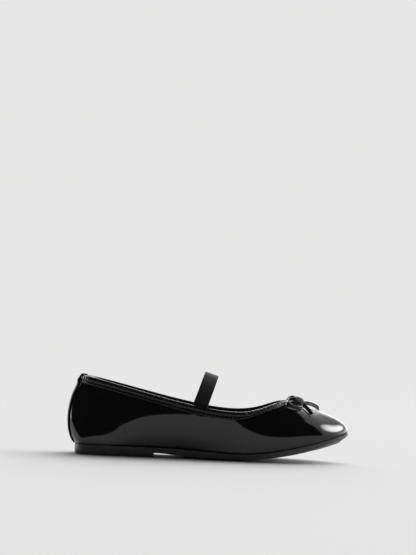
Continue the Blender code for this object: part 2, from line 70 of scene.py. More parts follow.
# Start, end, breadth and depth of the soft marks that last and counter leave in the film, in metres.
# A depth below zero is a ridge. Each mark fades towards its ends.
SOFT_MARKS = (
    ((-0.088, -0.029, 0.052), (-0.080, -0.030, 0.016), 0.0035, 0.00010),
    ((-0.079, -0.029, 0.050), (-0.072, -0.030, 0.018), 0.0040, -0.00007),
    ((-0.090, 0.028, 0.050), (-0.083, 0.028, 0.016), 0.0035, 0.00010),
    ((0.028, -0.040, 0.034), (0.046, -0.042, 0.020), 0.0030, 0.00009),
    ((0.030, 0.040, 0.034), (0.048, 0.041, 0.020), 0.0030, 0.00009),
    ((0.058, -0.030, 0.043), (0.074, -0.035, 0.030), 0.0035, 0.00008),
    ((0.060, 0.030, 0.043), (0.078, 0.034, 0.030), 0.0035, 0.00008),
)
MARK_END_FADE = 0.12


def only(piece):
    """Selects one piece and nothing else."""
    bpy.ops.object.select_all(action="DESELECT")
    piece.select_set(True)
    bpy.context.view_layer.objects.active = piece


def corners_of(mesh):
    """A mesh's corners as rows of x, y and z."""
    places = np.empty(len(mesh.vertices) * 3)
    mesh.vertices.foreach_get("co", places)
    return places.reshape(-1, 3)


def normals_of(mesh):
    """The outward direction at each corner of a mesh."""
    directions = np.empty(len(mesh.vertices) * 3)
    mesh.vertices.foreach_get("normal", directions)
    return directions.reshape(-1, 3)


def put_corners(mesh, places):
    """Moves a mesh's corners to new places."""
    mesh.vertices.foreach_set("co", np.asarray(places).ravel())
    mesh.update()


def cut_from(node, name):
    """A copy of a piece of the frame, its loose triangles joined into quads."""
    piece = bpy.data.objects.new(name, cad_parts[node].data.copy())
    bpy.context.collection.objects.link(piece)
    piece.data.materials.clear()
    only(piece)
    bpy.ops.object.mode_set(mode="EDIT")
    bpy.ops.mesh.select_all(action="SELECT")
    bpy.ops.mesh.remove_doubles(threshold=SAME_CORNER)
    bpy.ops.mesh.tris_convert_to_quads(face_threshold=QUAD_FOLD, shape_threshold=QUAD_SKEW)
    bpy.ops.object.mode_set(mode="OBJECT")
    return piece


def keep_folds(piece, angle, sharpness):
    """Creases the edges that turn by more than an angle, so that rounding leaves them."""
    only(piece)
    bpy.ops.object.mode_set(mode="EDIT")
    bpy.ops.mesh.select_all(action="DESELECT")
    bpy.ops.mesh.select_mode(type="EDGE")
    bpy.ops.mesh.edges_select_sharp(sharpness=angle)
    bpy.ops.transform.edge_crease(value=sharpness)
    bpy.ops.mesh.select_mode(type="VERT")
    bpy.ops.object.mode_set(mode="OBJECT")


def round_off(piece, levels):
    """Subdivides a piece into a smooth skin that still passes through its own corners."""
    only(piece)
    corners = corners_of(piece.data)
    steering = corners.copy()
    rounding = piece.modifiers.new("rounding", "SUBSURF")
    rounding.levels = rounding.render_levels = 1
    for _ in range(STEERING_ROUNDS):
        put_corners(piece.data, steering)
        bpy.context.view_layer.update()
        shaped = piece.evaluated_get(bpy.context.evaluated_depsgraph_get())
        steering += corners - corners_of(shaped.data)[:len(corners)]
    put_corners(piece.data, steering)
    rounding.levels = rounding.render_levels = levels
    bpy.ops.object.modifier_apply(modifier=rounding.name)
    bpy.ops.object.shade_smooth()


def new_finish(name, colour, roughness):
    """A material with its colour and roughness set, and its node tree and shader to build on."""
    finish = bpy.data.materials.new(name)
    finish.use_nodes = True
    tree = finish.node_tree
    shader = tree.nodes["Principled BSDF"]
    shader.inputs["Base Color"].default_value = colour
    shader.inputs["Roughness"].default_value = roughness
    return finish, tree, shader


def noise_on(tree, grains, detail=2.0, roughness=0.5):
    """Noise that lies still on the piece, with a number of grains per metre."""
    place = tree.nodes.new("ShaderNodeTexCoord")
    noise = tree.nodes.new("ShaderNodeTexNoise")
    noise.inputs["Scale"].default_value = grains
    noise.inputs["Detail"].default_value = detail
    noise.inputs["Roughness"].default_value = roughness
    tree.links.new(place.outputs["Object"], noise.inputs["Vector"])
    return noise.outputs["Fac"]


def raise_surface(tree, shader, height, depth, strength=1.0):
    """Gives a shader's surface the relief of a height pattern."""
    relief = tree.nodes.new("ShaderNodeBump")
    relief.inputs["Distance"].default_value = depth
    relief.inputs["Strength"].default_value = strength
    tree.links.new(height, relief.inputs["Height"])
    tree.links.new(relief.outputs["Normal"], shader.inputs["Normal"])


def patent_finish(name, wave_size, wave_depth, roughness=FILM_ROUGHNESS):
    """Black film, glossy unless a roughness is given, with the faint waves that lasting leaves in it."""
    finish, tree, shader = new_finish(name, PATENT_BLACK, roughness)
    waves = noise_on(tree, 1.0 / wave_size, roughness=FILM_WAVE_ROUGHNESS)
    raise_surface(tree, shader, waves, wave_depth)
    return finish


def cloth_finish(name, colour):
    """Matte textile with a fine close thread."""
    finish, tree, shader = new_finish(name, colour, LINING_ROUGHNESS)
    threads = noise_on(tree, 1.0 / LINING_THREAD, detail=3.0)
    raise_surface(tree, shader, threads, LINING_RELIEF, strength=0.6)
    return finish


def faces_inwards(piece, middle_line):
    """For each face, whether it looks at the foot's own middle line."""
    mesh = piece.data
    normals = np.empty(len(mesh.polygons) * 3)
    centres = np.empty(len(mesh.polygons) * 3)
    mesh.polygons.foreach_get("normal", normals)
    mesh.polygons.foreach_get("center", centres)
    normals = normals.reshape(-1, 3)
    centres = centres.reshape(-1, 3)
    back, front, height = middle_line
    middle = np.zeros_like(centres)
    middle[:, 0] = np.clip(centres[:, 0], back, front)
    middle[:, 2] = height
    return np.einsum("ij,ij->i", normals, centres - middle) < 0.0


upper_low, upper_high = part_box("upper")
FOOT_LINE = (upper_low.x + MIDDLE_FROM_BACK, upper_high.x - MIDDLE_FROM_TOE, MIDDLE_HEIGHT)

upper = cut_from("upper", "patent_upper")
keep_folds(upper, FOLD_ANGLE, FOLD_SHARPNESS)
upper_cage = upper.data.copy()
round_off(upper, 2)


def press(piece, dents):
    """Presses soft troughs and ridges into the outer face: each has its ends, its breadth and its depth."""
    mesh = piece.data
    places = corners_of(mesh)
    normals = normals_of(mesh)
    moved = places.copy()
    for start, end, breadth, depth in dents:
        start = np.array(start)
        run = np.array(end) - start
        share = np.clip((places - start) @ run / (run @ run), 0.0, 1.0)
        away = np.linalg.norm(places - start - share[:, None] * run, axis=1)
        taper = np.sin(math.pi * (MARK_END_FADE + (1.0 - 2 * MARK_END_FADE) * share))
        moved -= normals * (depth * taper * np.exp(-(away / breadth) ** 2))[:, None]
    put_corners(mesh, moved)


press(upper, SOFT_MARKS)
patent = patent_finish("black_patent", FILM_WAVE_SIZE, FILM_WAVE_DEPTH)
lining = cloth_finish("upper_lining", LINING_BLACK)
upper.data.materials.append(patent)
upper.data.materials.append(lining)
upper.data.polygons.foreach_set("material_index", faces_inwards(upper, FOOT_LINE).astype(np.int32))
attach(upper, "root")
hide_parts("upper")

# The topline casing is a strip of thinner patent folded over the edge of the collar and stitched down.
# A drawn elastic inside it gathers the film into small puffs between the stitches.

STITCH_PITCH = 0.0039
STATIONS_PER_STITCH = 12
PUFF_HEIGHT = 0.00026
CRINKLE_HEIGHT = 0.00018
CRINKLE_PITCHES = (0.0017, 0.0023, 0.0031, 0.0064)
SLANT_PITCHES = (0.0026, 0.0041)
CRINKLE_SEED = 7
SLANT_SEED = 11
# The waves sway by a share between these, and by a number of turns round the collar from this range.
SWAY_SHARES = (0.6, 1.4)
SWAY_TURNS = (5, 11)
# The slanting folds turn by this many radians in a metre down the wall.
SLANT_TURN = 1800
CREASED_ROUGHNESS = 0.26
CASING_WAVE_SIZE = 0.003
CASING_WAVE_DEPTH = 0.00003
RIM_ANGLE = math.radians(60)
RIM_LOWEST = 0.030
RIM_FINENESS = 4001
# Each row is a corner of the casing's cut: how far down the wall, how far out of its outer face, how much
# of the puffs it takes, and how much of the fine crinkle.
CASING_CUT = (
    (0.0056, 0.0004, 0.0, 0.2),
    (0.0057, 0.0008, 0.1, 0.5),
    (0.0053, 0.0012, 0.2, 0.8),
    (0.0046, 0.0012, 0.2, 0.8),
    (0.0040, 0.0010, 0.0, 0.3),
    (0.0036, 0.0006, 0.0, 0.0),
    (0.0032, 0.0010, 0.2, 0.3),
    (0.0025, 0.0015, 0.8, 0.8),
    (0.0015, 0.0017, 1.0, 1.0),
    (0.0005, 0.0016, 1.0, 1.0),
    (-0.0006, 0.0011, 0.5, 0.6),
    (-0.0013, 0.0002, 0.2, 0.3),
    (-0.0015, -0.0008, 0.1, 0.2),
    (-0.0013, -0.0018, 0.1, 0.2),
    (-0.0006, -0.0027, 0.2, 0.3),
    (0.0005, -0.0031, 0.4, 0.6),
    (0.0020, -0.0031, 0.4, 0.8),
    (0.0036, -0.0028, 0.2, 0.5),
    (0.0050, -0.0030, 0.1, 0.3),
    (0.0053, -0.0026, 0.0, 0.2),
    (0.0050, -0.0020, 0.0, 0.0),
    (0.0010, -0.0020, 0.0, 0.0),
    (-0.0004, -0.0014, 0.0, 0.0),
    (-0.0004, -0.0002, 0.0, 0.0),
    (0.0010, 0.0004, 0.0, 0.0),
)


def collar_rings(cage):
    """The collar's outer and inner edge, each a ring of corners in order from the back."""
    beside_edge = {}
    for face in cage.polygons:
        for key in face.edge_keys:
            beside_edge.setdefault(key, []).append(face.normal)
    places = corners_of(cage)
    onward = {}
    for (a, b), normals in beside_edge.items():
        if min(places[a, 2], places[b, 2]) > RIM_LOWEST and normals[0].angle(normals[1]) > RIM_ANGLE:
            onward.setdefault(a, []).append(b)
            onward.setdefault(b, []).append(a)
    rings = []
    while onward:
        ring = [min(onward, key=lambda i: places[i, 0])]
        ring.append(min(onward[ring[0]], key=lambda i: places[i, 1]))
        while True:
            after = [i for i in onward[ring[-1]] if i != ring[-2]]
            if after[0] == ring[0]:
                break
            ring.append(after[0])
        rings.append(ring)
        for i in ring:
            del onward[i]
    return sorted(rings, key=lambda ring: places[ring, 0].min())


def rim_rows(cage):
    """Outer corner, inner corner and the corner below the outer one, all round the collar."""
    outer, inner = collar_rings(cage)
    beside = {i: set() for i in outer}
    for edge in cage.edges:
        a, b = edge.vertices
        if a in beside:
            beside[a].add(b)
        if b in beside:
            beside[b].add(a)
    rim = set(outer) | set(inner)
    across = [next(iter(beside[i] & set(inner))) for i in outer]
    below = [next(iter(beside[i] - rim)) for i in outer]
    places = corners_of(cage)
    return places[outer], places[across], places[below]


def between(before, start, end, after, t):
    """A place between start and end, on a smooth curve that is steered by the neighbours on both sides."""
    pull = (end - before) * t
    bend = (2 * before - 5 * start + 4 * end - after) * t ** 2
    twist = (3 * start - before - 3 * end + after) * t ** 3
    return start + 0.5 * (pull + bend + twist)


def smooth_ring(points, shares):
    """Places at given shares of the way round a closed ring of points, on a smooth curve through them."""
    count = len(points)
    at = np.asarray(shares) * count
    first = np.floor(at).astype(int) % count
    t = (at - np.floor(at))[:, None]
    before, start, end, after = (points[(first + k) % count] for k in (-1, 0, 1, 2))
    return between(before, start, end, after, t)


def unit(rows):
    """Directions of length one."""
    return rows / np.linalg.norm(rows, axis=-1)[..., None]


class Collar:
    """The collar's edge as a smooth line with even stations: place, way out of the wall and way down it."""

    def __init__(self, cage, pitch, per_pitch):
        outer, inner, below = rim_rows(cage)
        fine = np.linspace(0.0, 1.0, RIM_FINENESS)[:-1]
        line = smooth_ring(outer, fine)
        steps = np.linalg.norm(np.roll(line, -1, axis=0) - line, axis=1)
        walked = np.concatenate([[0.0], np.cumsum(steps)])
        self.length = walked[-1]
        self.stitches = round(self.length / pitch)
        self.stations = self.stitches * per_pitch
        self.walk = np.arange(self.stations) / self.stations * self.length
        even = np.interp(self.walk, walked, np.append(fine, 1.0))
        self.place = smooth_ring(outer, even)
        self.along = unit(np.roll(self.place, -1, axis=0) - np.roll(self.place, 1, axis=0))
        out = smooth_ring(unit(outer - inner), even)
        down = smooth_ring(unit(below - outer), even)
        out = out - self.along * np.sum(out * self.along, axis=1)[:, None]
        self.out = unit(out)
        down = down - self.along * np.sum(down * self.along, axis=1)[:, None]
        self.down = unit(down - self.out * np.sum(down * self.out, axis=1)[:, None])


def new_piece(name, corners, faces):
    """A piece from its corners and faces, with all its faces turned outwards."""
    mesh = bpy.data.meshes.new(name)
    mesh.from_pydata(np.asarray(corners).tolist(), [], faces)
    piece = bpy.data.objects.new(name, mesh)
    bpy.context.collection.objects.link(piece)
    only(piece)
    bpy.ops.object.mode_set(mode="EDIT")
    bpy.ops.mesh.select_all(action="SELECT")
    bpy.ops.mesh.normals_make_consistent(inside=False)
    bpy.ops.object.mode_set(mode="OBJECT")
    return piece


def ring_grid(name, grid):
    """A closed tube from a grid of places: rounds of the cut along a ring of stations."""
    stations, around = grid.shape[:2]
    faces = []
    for i in range(stations):
        j = (i + 1) % stations
        for k in range(around):
            m = (k + 1) % around
            faces.append((i * around + k, j * around + k, j * around + m, i * around + m))
    piece = new_piece(name, grid.reshape(-1, 3), faces)
    bpy.ops.object.shade_smooth()
    return piece


def ripples(walk, length, pitches, seed):
    """Irregular small waves along a closed line, from a few pitches whose phase sways."""
    draw = np.random.default_rng(seed)
    total = np.zeros_like(walk)
    for pitch in pitches:
        turns = max(1, round(length / pitch))
        drift = draw.uniform(0, 2 * math.pi)
        share = draw.uniform(*SWAY_SHARES)
        sway = share * np.sin(2 * math.pi * walk / length * draw.integers(*SWAY_TURNS) + drift)
        total += np.sin(2 * math.pi * walk / length * turns + sway * 2.0 + drift)
    return total / len(pitches)


def gathered_casing(collar):
    """Places of the casing round the collar, its cut swollen between stitches and finely crinkled."""
    points = 2 * len(CASING_CUT)
    cut = smooth_ring(np.array(CASING_CUT), np.arange(points) / points)
    down, out, puffed, crinkled = cut.T
    puff = np.abs(np.sin(math.pi * collar.walk / collar.length * collar.stitches))
    crinkle = ripples(collar.walk, collar.length, CRINKLE_PITCHES, CRINKLE_SEED)
    slant = ripples(collar.walk, collar.length, SLANT_PITCHES, SLANT_SEED)
    folds = crinkle[:, None] + slant[:, None] * np.cos(down * SLANT_TURN)
    swell = puff[:, None] * puffed * PUFF_HEIGHT + folds * crinkled * CRINKLE_HEIGHT
    turn = np.stack([down, out], axis=1)
    along = unit(np.roll(turn, -1, axis=0) - np.roll(turn, 1, axis=0))
    down_grid = down + swell * along[:, 1]
    out_grid = out - swell * along[:, 0]
    return (collar.place[:, None, :] + collar.down[:, None, :] * down_grid[..., None]
            + collar.out[:, None, :] * out_grid[..., None])


collar = Collar(upper_cage, STITCH_PITCH, STATIONS_PER_STITCH)
casing = ring_grid("topline_casing", gathered_casing(collar))
casing_patent = patent_finish("casing_patent", CASING_WAVE_SIZE, CASING_WAVE_DEPTH, CREASED_ROUGHNESS)
casing.data.materials.append(casing_patent)
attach(casing, "root")
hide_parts("topline_binding")

# The drawn casing also gathers the upper itself into light puckers, which die away below the casing.

PUCKER_DEPTH = 0.00011
PUCKER_REACH = 0.0065
PUCKER_PITCHES = (0.0055, 0.0078, 0.0113)
PUCKER_SEED = 23

stations = KDTree(collar.stations)
for i, place in enumerate(collar.place):
    stations.insert(place, i)
stations.balance()
pucker_run = ripples(collar.walk, collar.length, PUCKER_PITCHES, PUCKER_SEED)
upper_places = corners_of(upper.data)
upper_normals = normals_of(upper.data)
for k, place in enumerate(upper_places):
    _, i, away = stations.find(place)
    if away < 4 * PUCKER_REACH:
        pucker = pucker_run[i] * PUCKER_DEPTH * math.exp(-(away / PUCKER_REACH) ** 2)
        upper_places[k] += upper_normals[k] * pucker
put_corners(upper.data, upper_places)

# One row of lockstitches in bonded black thread holds the casing down, in the groove below its fold.
# Each stitch is a short thread whose ends dip into the film.

THREAD_BLACK = (0.010, 0.010, 0.0105, 1.0)
THREAD_ROUGHNESS = 0.32
THREAD_RADIUS = 0.00021
THREAD_TWISTS = 5200.0
THREAD_RELIEF = 0.00003
THREAD_SIDES = 8
THREAD_SMOOTH_ANGLE = math.radians(60)
SEAM_DOWN = 0.0036
SEAM_OUT = 0.0008
STITCH_SHARE = 0.66
# Along one stitch: share of its length, girth and lift in shares of the thread's radius.
STITCH_RINGS = (
    (-0.50, 0.25, -1.60),
    (-0.44, 0.80, -0.50),
    (-0.25, 1.00, 0.35),
    (0.00, 1.00, 0.55),
    (0.25, 1.00, 0.35),
    (0.44, 0.80, -0.50),
    (0.50, 0.25, -1.60),
)


def tube_faces(first, rings, sides):
    """The faces of a tube with both ends closed, its corners numbered ring by ring from first."""
    faces = []
    for ring in range(rings - 1):
        start = first + ring * sides
        for k in range(sides):
            m = (k + 1) % sides
            faces.append((start + k, start + m, start + sides + m, start + sides + k))
    last = first + (rings - 1) * sides
    faces.append(tuple(first + k for k in reversed(range(sides))))
    faces.append(tuple(last + k for k in range(sides)))
    return faces


def stitch_row(name, places, outs, runs, length, radius):
    """A row of short threads, each lying along the seam and dipping into it at both ends."""
    corners = []
    faces = []
    for place, out, run in zip(places, outs, runs):
        faces += tube_faces(len(corners), len(STITCH_RINGS), THREAD_SIDES)
        side = np.cross(out, run)
        for share, girth, lift in STITCH_RINGS:
            middle = place + run * share * length + out * lift * radius
            for k in range(THREAD_SIDES):
                turn = 2 * math.pi * k / THREAD_SIDES
                corners.append(middle + (side * math.cos(turn) + out * math.sin(turn)) * girth * radius)
    row = new_piece(name, corners, faces)
    bpy.ops.object.shade_smooth_by_angle(angle=THREAD_SMOOTH_ANGLE)
    return row


def thread_finish(name):
    """Black bonded thread with the fine relief of its plies."""
    finish, tree, shader = new_finish(name, THREAD_BLACK, THREAD_ROUGHNESS)
    raise_surface(tree, shader, noise_on(tree, THREAD_TWISTS), THREAD_RELIEF)
    return finish


thread = thread_finish("sewing_thread")

at_stitch = np.arange(collar.stitches) * STATIONS_PER_STITCH
seam = collar.place + collar.down * SEAM_DOWN + collar.out * SEAM_OUT
stitches = stitch_row("casing_stitches", seam[at_stitch], collar.out[at_stitch], collar.along[at_stitch],
                      STITCH_PITCH * STITCH_SHARE, THREAD_RADIUS)
stitches.data.materials.append(thread)
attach(stitches, "root")
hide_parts("topline_binding")

# The back strip is a narrow strip of duller black patent that covers the seam at the heel.
# It runs up from the sole, over the casing, and is sewn down inside the collar.

STRIP_ROUGHNESS = 0.50
STRIP_GLOSS = 0.08
STRIP_WAVE_SIZE = 0.003
STRIP_WAVE_DEPTH = 0.00002
STRIP_SHARPNESS = 0.55
CUT_EDGE_ANGLE = math.radians(50)
STRIP_STITCH_PITCH = 0.0026
STRIP_STITCH_SHARE = 0.62
STRIP_THREAD_RADIUS = THREAD_RADIUS * 0.8
STRIP_STITCH_IN = 0.0033
STRIP_SEAM_FOOT = 0.0115
STRIP_SEAM_TOP = 0.0625
BEHIND_THE_SHOE = -0.2

back_strip = cut_from("back_strip", "back_seam_strip")
keep_folds(back_strip, CUT_EDGE_ANGLE, STRIP_SHARPNESS)
round_off(back_strip, 2)
strip_patent = patent_finish("strip_patent", STRIP_WAVE_SIZE, STRIP_WAVE_DEPTH, STRIP_ROUGHNESS)
strip_shader = strip_patent.node_tree.nodes["Principled BSDF"]
strip_shader.inputs["Specular IOR Level"].default_value = STRIP_GLOSS
back_strip.data.materials.append(strip_patent)
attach(back_strip, "root")
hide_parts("back_strip")

strip_skin = BVHTree.FromObject(back_strip, bpy.context.evaluated_depsgraph_get())
forward = Vector((1.0, 0.0, 0.0))
across = Vector((0.0, 1.0, 0.0))
strip_places = []
strip_outs = []
strip_runs = []
for side in (-1.0, 1.0):
    level = STRIP_SEAM_FOOT
    while level < STRIP_SEAM_TOP:
        start = Vector((BEHIND_THE_SHOE, side * STRIP_STITCH_IN, level))
        place, out, _, _ = strip_skin.ray_cast(start, forward)
        run = out.cross(across).normalized()
        strip_places.append(np.array(place))
        strip_outs.append(np.array(out))
        strip_runs.append(np.array(run))
        level += STRIP_STITCH_PITCH * abs(run.z)
strip_stitches = stitch_row("back_strip_stitches", strip_places, strip_outs, strip_runs,
                            STRIP_STITCH_PITCH * STRIP_STITCH_SHARE, STRIP_THREAD_RADIUS)
strip_stitches.data.materials.append(thread)
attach(strip_stitches, "root")
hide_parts("back_strip")

# The elastic over the instep is a flat woven band with close ribs and two firm edges.
# Its ends are sewn to the inside of the casing.

ELASTIC_BLACK = (0.0105, 0.0105, 0.011, 1.0)
# The raised threads are painted this lighter colour, a painted highlight on the weave's tops; the hollows
# keep the darker black as painted shade.
ELASTIC_PAINTED_RIDGE_LIGHT = (0.017, 0.017, 0.0175, 1.0)
ELASTIC_EDGE = (0.006, 0.006, 0.0062, 1.0)
ELASTIC_ROUGHNESS = 0.74
ELASTIC_GLOSS = 0.3
ELASTIC_FUZZ = 0.12
ELASTIC_SHARPNESS = 0.6
STRAP_LEAN = math.radians(18.0)
BAND_RIBS = 13
WEFT_PITCH = 0.00055
WEFT_SHARE = 0.45
WEAVE_RELIEF = 0.00007
# The weave's height from its lowest to its highest thread, in heights of one rib; across it the colour runs
# from painted shade in the hollows to painted highlight on the raised threads.
WEAVE_SPAN = (-1.2, 1.2)
# The firm edge starts at this share of the band's half width, and stands this many ribs high.
BAND_EDGE = 0.82
BAND_EDGE_FADE = 0.05
BAND_EDGE_HEIGHT = 1.6
# The band runs over the instep about as an arc with this radius and this height of its middle.
ARC_RADIUS = 0.030
ARC_HEIGHT = 0.045

strap = cut_from("elastic_strap", "instep_elastic")
keep_folds(strap, CUT_EDGE_ANGLE, ELASTIC_SHARPNESS)
round_off(strap, 3)


def lay_weave(strap):
    """Writes on each corner how far across the band it lies, from -1 to 1, and how far along, in metres."""
    places = corners_of(strap.data)
    low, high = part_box("elastic_strap")
    share = places @ np.array((math.cos(STRAP_LEAN), 0.0, -math.sin(STRAP_LEAN)))
    share = 2.0 * (share - share.min()) / np.ptp(share) - 1.0
    swing = np.arctan2(places[:, 1] - (low.y + high.y) / 2, places[:, 2] - ARC_HEIGHT)
    weave = np.stack([share, swing * ARC_RADIUS, np.zeros_like(share)], axis=1)
    band = strap.data.attributes.new("band", "FLOAT_VECTOR", "POINT")
    band.data.foreach_set("vector", weave.ravel())


lay_weave(strap)


def worked_out(tree, kind, *values):
    """One arithmetic step on some values, each a socket or a number."""
    step = tree.nodes.new("ShaderNodeMath")
    step.operation = kind
    for socket, value in zip(step.inputs, values):
        if isinstance(value, float):
            socket.default_value = value
        else:
            tree.links.new(value, socket)
    return step.outputs["Value"]


def wave_of(tree, value, turns):
    """The sine of a value, with a number of turns per unit."""
    return worked_out(tree, "SINE", worked_out(tree, "MULTIPLY", value, 2 * math.pi * turns))


def stepped(tree, value, span, first=0.0, last=1.0, kind="SMOOTHSTEP"):
    """A step from the first to the last strength while a value runs through a span."""
    step = tree.nodes.new("ShaderNodeMapRange")
    step.interpolation_type = kind
    for socket, number in zip(("From Min", "From Max", "To Min", "To Max"), (*span, first, last)):
        step.inputs[socket].default_value = number
    tree.links.new(value, step.inputs["Value"])
    return step.outputs["Result"]


def mixed(tree, share, one, other):
    """A colour between two others, the first of them a socket or a colour."""
    mix = tree.nodes.new("ShaderNodeMix")
    mix.data_type = "RGBA"
    factor, first, second = mix.inputs[0], mix.inputs[6], mix.inputs[7]
    tree.links.new(share, factor)
    if isinstance(one, tuple):
        first.default_value = one
    else:
        tree.links.new(one, first)
    second.default_value = other
    return mix.outputs[2]


def parts_of(tree, vector):
    """The x, y and z of a vector."""
    parts = tree.nodes.new("ShaderNodeSeparateXYZ")
    tree.links.new(vector, parts.inputs["Vector"])
    return parts.outputs["X"], parts.outputs["Y"], parts.outputs["Z"]


def elastic_finish(name):
    """Black woven elastic: soft ribs along the band, a close weft across them and a firmer, darker edge,
    with the raised threads painted lighter as painted highlight and the hollows darker as painted shade.
    """
    finish, tree, shader = new_finish(name, ELASTIC_BLACK, ELASTIC_ROUGHNESS)
    shader.inputs["Specular IOR Level"].default_value = ELASTIC_GLOSS
    shader.inputs["Sheen Weight"].default_value = ELASTIC_FUZZ
    shader.inputs["Sheen Roughness"].default_value = 0.4
    woven = tree.nodes.new("ShaderNodeAttribute")
    woven.attribute_name = "band"
    across, along, _ = parts_of(tree, woven.outputs["Vector"])
    ribs = wave_of(tree, across, BAND_RIBS / 2)
    weft = wave_of(tree, along, 1.0 / WEFT_PITCH)
    weave = worked_out(tree, "MULTIPLY_ADD", weft, WEFT_SHARE, ribs)
    off_middle = worked_out(tree, "ABSOLUTE", across)
    firm = stepped(tree, off_middle, (BAND_EDGE, BAND_EDGE + BAND_EDGE_FADE))
    height = worked_out(tree, "MULTIPLY_ADD", firm, BAND_EDGE_HEIGHT, weave)
    raise_surface(tree, shader, height, WEAVE_RELIEF, strength=0.7)
    # Painted light: the colour is lighter where the weave stands high and darker in its hollows.
    ridge_light_share = stepped(tree, weave, WEAVE_SPAN, kind="LINEAR")
    threads = mixed(tree, ridge_light_share, ELASTIC_BLACK, ELASTIC_PAINTED_RIDGE_LIGHT)
    tree.links.new(mixed(tree, firm, threads, ELASTIC_EDGE), shader.inputs["Base Color"])
    return finish


strap.data.materials.append(elastic_finish("woven_elastic"))
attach(strap, "root")
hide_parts("elastic_strap")

# The insole is a thin board with a foam sock of smooth black lining glued over it.
# It hides the turned-in margin of the upper.

SOCK_CROWN = 0.0006
SOCK_REACH = 0.030
SOCK_SHARPNESS = 0.7

insole = cut_from("insole", "sock_insole")
keep_folds(insole, CUT_EDGE_ANGLE, SOCK_SHARPNESS)
round_off(insole, 2)


def crown_sock(insole):
    """Raises the foam a little along the middle of its top."""
    places = corners_of(insole.data)
    low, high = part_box("insole")
    on_top = np.clip(normals_of(insole.data)[:, 2], 0.0, 1.0)
    off_middle = places[:, 1] - (low.y + high.y) / 2
    places[:, 2] += on_top * np.exp(-(off_middle / SOCK_REACH) ** 4) * SOCK_CROWN
    put_corners(insole.data, places)


crown_sock(insole)
insole.data.materials.append(cloth_finish("sock_lining", LINING_BLACK))
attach(insole, "root")
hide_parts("insole")

# The sole is moulded in one with its low heel, of hard black rubber with a dull, slightly rough skin.
# It is cemented to the underside of the upper.

RUBBER_BLACK = (0.044, 0.043, 0.041, 1.0)
RUBBER_RUBBED = (0.080, 0.079, 0.075, 1.0)
RUBBER_ROUGHNESS = 0.48
SKIN_GRAINS = 1100.0
SKIN_RELIEF = 0.00012
MOTTLE_GRAINS = 160.0
SOLE_EDGE_ROUND = 0.0005
SOLE_EDGE_ANGLE = math.radians(35)
SOLE_SMOOTH_ANGLE = math.radians(30)
TREAD_PITCH = 0.0022
TREAD_HEIGHT = 2.5
# The tread grows in while a face's upward share runs through this, so only the underside has it.
UNDERSIDE_SPAN = (-0.80, -0.95)
# The skin is rubbed paler where the mottle's noise runs through this.
RUBBED_SPAN = (0.45, 0.85)

sole = cut_from("outsole", "moulded_sole")
sole_round = sole.modifiers.new("edge_round", "BEVEL")
sole_round.width = SOLE_EDGE_ROUND
sole_round.segments = 3
sole_round.limit_method = "ANGLE"
sole_round.angle_limit = SOLE_EDGE_ANGLE
only(sole)
bpy.ops.object.modifier_apply(modifier=sole_round.name)
bpy.ops.object.shade_smooth_by_angle(angle=SOLE_SMOOTH_ANGLE)


def rubber_finish(name):
    """Dull moulded rubber with a slightly rough skin, and a fine crossed tread on the underside."""
    finish, tree, shader = new_finish(name, RUBBER_BLACK, RUBBER_ROUGHNESS)
    skin = noise_on(tree, SKIN_GRAINS, detail=4.0)
    mottle = noise_on(tree, MOTTLE_GRAINS, detail=5.0)
    x, y, _ = parts_of(tree, tree.nodes.new("ShaderNodeTexCoord").outputs["Object"])
    one_way = wave_of(tree, worked_out(tree, "ADD", x, y), 1.0 / TREAD_PITCH)
    other_way = wave_of(tree, worked_out(tree, "SUBTRACT", x, y), 1.0 / TREAD_PITCH)
    crossed = worked_out(tree, "MAXIMUM", one_way, other_way)
    _, _, upward = parts_of(tree, tree.nodes.new("ShaderNodeNewGeometry").outputs["Normal"])
    under = stepped(tree, upward, UNDERSIDE_SPAN, kind="LINEAR")
    tread = worked_out(tree, "MULTIPLY", crossed, under)
    height = worked_out(tree, "MULTIPLY_ADD", tread, TREAD_HEIGHT, skin)
    raise_surface(tree, shader, height, SKIN_RELIEF)
    rubbed = stepped(tree, mottle, RUBBED_SPAN, kind="LINEAR")
    tree.links.new(mixed(tree, rubbed, RUBBER_BLACK, RUBBER_RUBBED), shader.inputs["Base Color"])
    return finish


sole.data.materials.append(rubber_finish("moulded_rubber"))
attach(sole, "root")
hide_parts("outsole")

# The bow is one narrow tape of folded patent, tied with two loops and two tails and tacked at the throat.
# Its knot is the tape drawn tight round itself, so its folds run slantwise. It is painted a pale grey: a
# painted reflection standing in for the highlights on its creased film.

# The bow's middle lies this far ahead of the shoe's, just in front of the throat.
BOW_X = 0.08266
BOW_HALF_SPAN = 0.0220
BOW_RISE = 0.0052
BOW_ROUGHNESS = 0.17
BOW_WAVE_SIZE = 0.0022
BOW_WAVE_DEPTH = 0.00003
# The knot's pale grey is painted reflection in place of the highlights on creased patent, not the tape's own
# colour.
KNOT_PAINTED_REFLECTION = (0.085, 0.082, 0.075, 1.0)
TAPE_WIDTH = 0.0035
TAPE_THICKNESS = 0.0012
TAPE_SMOOTH_ANGLE = math.radians(50)
STEPS_PER_PLACE = 9
# Near the knot the tape is drawn in: the reach of that, and its shares of the width and the thickness.
TIED_REACH = 0.0030
TIED_NARROWER = 0.22
TIED_THICKER = 0.25
TAPE_WANDER = 0.00012
TAPE_WANDER_TURN = 900.0
TAIL_CUT_REACH = 0.003
